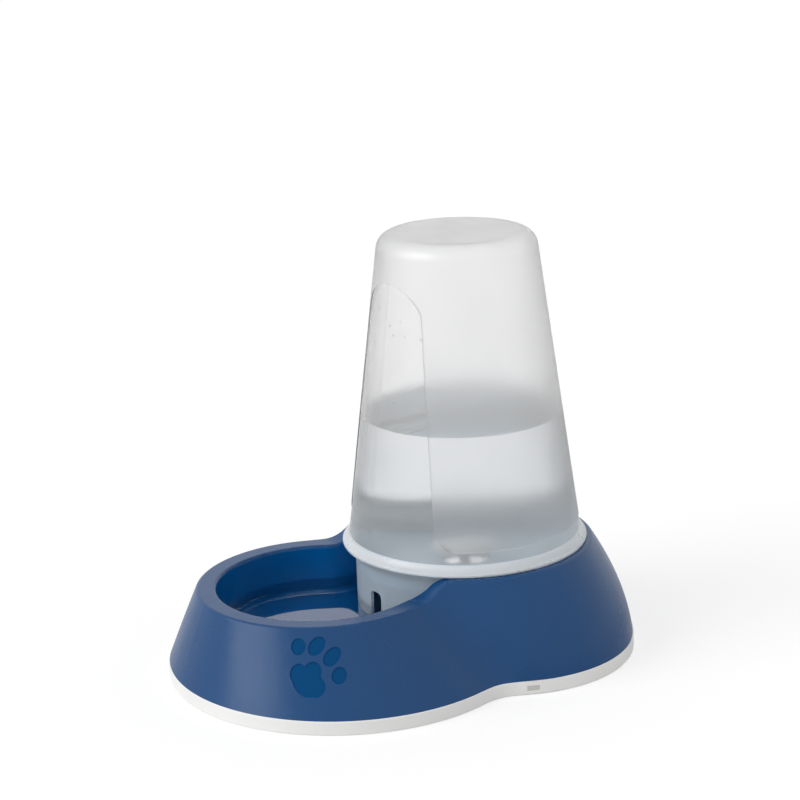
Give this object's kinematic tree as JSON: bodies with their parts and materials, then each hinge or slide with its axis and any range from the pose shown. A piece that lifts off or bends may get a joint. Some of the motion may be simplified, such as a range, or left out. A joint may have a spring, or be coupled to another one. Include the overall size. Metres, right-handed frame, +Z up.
{
  "type": "pet water dispenser",
  "caption": "Gravity water dispenser for pets: two-lobed base with a drinking bowl and a lift-off tapered translucent reservoir with a valve lid.",
  "frame": {"origin": "on the floor, under the middle of the foot", "axes": "+Z up, -Y towards the drinking bowl, +Y towards the reservoir, X across"},
  "size_m": [0.202, 0.2704, 0.24],
  "materials": {
    "blue_plastic": "satin injection-moulded polypropylene, dark blue",
    "white_rubber": "smooth white thermoplastic rubber",
    "clear_plastic": "translucent natural polypropylene, frosted except for a clear window",
    "seal_rubber": "soft grey silicone",
    "valve_plastic": "white acetal",
    "spring_steel": "stainless spring wire"
  },
  "bodies": {
    "base": {"base_shell": "blue_plastic", "anti_slip_ring": "white_rubber"},
    "reservoir": {"reservoir": "clear_plastic"},
    "lid": {"reservoir_lid": "blue_plastic", "lid_gasket": "seal_rubber", "valve_spring": "spring_steel"},
    "valve": {"valve_plunger": "valve_plastic", "valve_washer": "seal_rubber", "spring_cap": "valve_plastic"}
  },
  "joints": [
    {"name": "reservoir_lift", "type": "slide", "parent": "base", "child": "reservoir", "axis": [0, 0, 1], "range_m": [0, 0.12]},
    {"name": "lid_turn", "type": "hinge", "parent": "reservoir", "child": "lid", "pos_m": [0, 0.04228, 0.048], "axis": [0, 0, 1], "range_deg": [0, 25]},
    {"name": "valve_slide", "type": "slide", "parent": "lid", "child": "valve", "axis": [0, 0, 1], "range_m": [-0.005, 0], "deforming": ["valve_spring"]}
  ],
  "couplings": [
    {"joint": "valve_slide", "follows": "reservoir_lift", "ratio": -0.041667}
  ]
}
